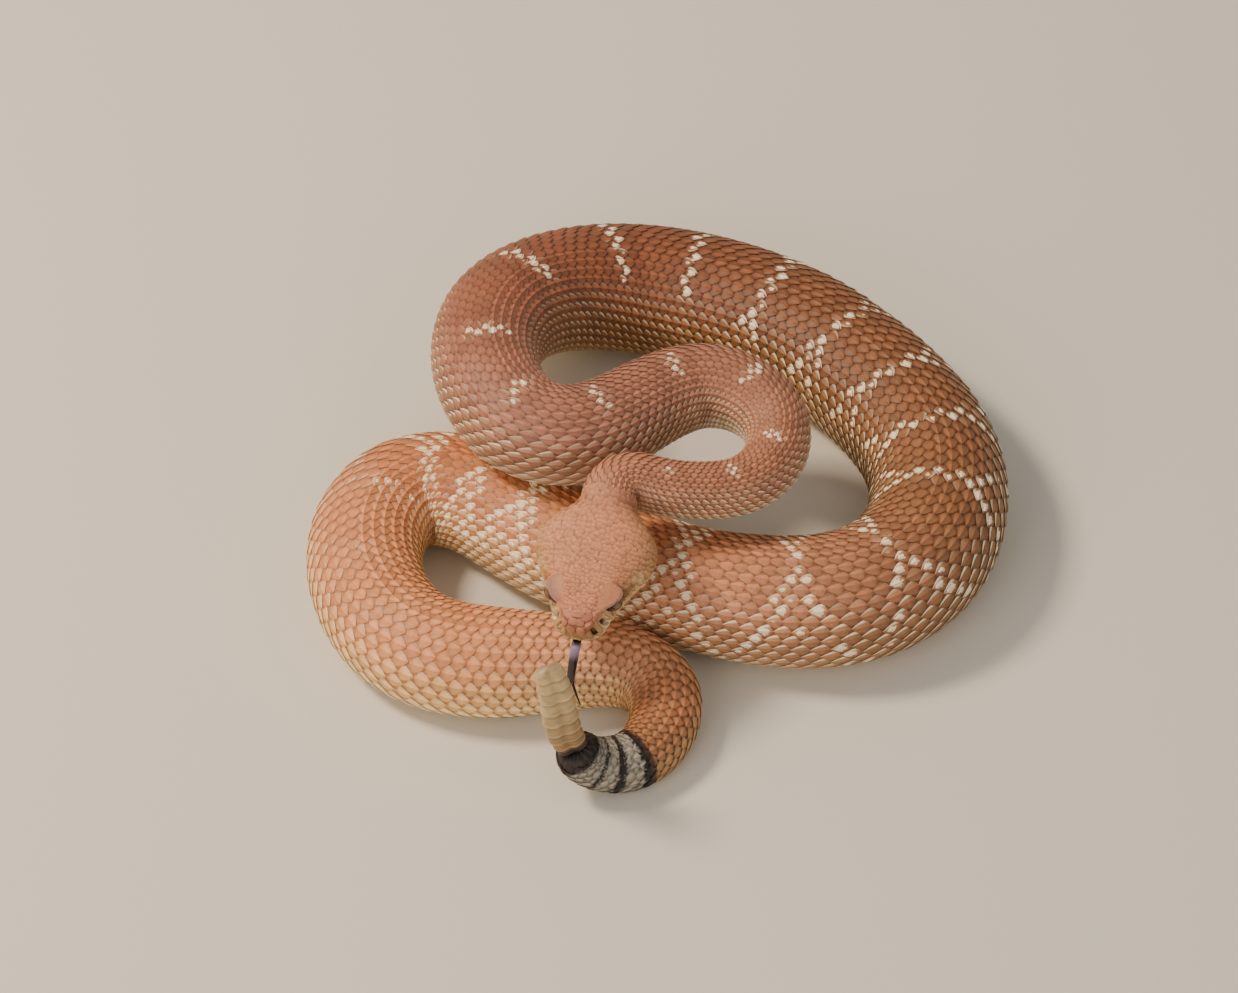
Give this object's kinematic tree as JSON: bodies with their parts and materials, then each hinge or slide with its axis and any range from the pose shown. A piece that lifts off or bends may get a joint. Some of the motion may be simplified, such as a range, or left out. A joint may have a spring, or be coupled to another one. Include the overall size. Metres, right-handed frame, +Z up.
{
  "type": "red diamond rattlesnake, still life-size model",
  "caption": "Coiled brick-red rattlesnake, fore body raised in an S, head forward, tongue out, tail ringed black and ash, rattle upright.",
  "frame": {"origin": "middle of the bounding box, on the floor", "axes": "+Z up, the head faces -Y, the wide right-hand loop of the coil lies at +X"},
  "size_m": [0.2361, 0.2381, 0.0678],
  "materials": {
    "brick_red_skin": "dry keeled scales, brick red with faint cream-flecked diamonds",
    "eye": "glossy, with an upright slit pupil",
    "black_tongue": "moist black flesh",
    "rattle_horn": "dry tan horn"
  },
  "bodies": {
    "root": {"head": "brick_red_skin", "lower_jaw": "brick_red_skin", "eye_left": "eye", "eye_right": "eye", "tongue": "black_tongue", "neck": "brick_red_skin", "neck_loop": "brick_red_skin", "body_1": "brick_red_skin", "body_2": "brick_red_skin", "body_3": "brick_red_skin", "body_4": "brick_red_skin", "body_5": "brick_red_skin", "body_6": "brick_red_skin", "body_7": "brick_red_skin", "body_8": "brick_red_skin", "tail": "brick_red_skin", "rattle": "rattle_horn"}
  },
  "joints": []
}
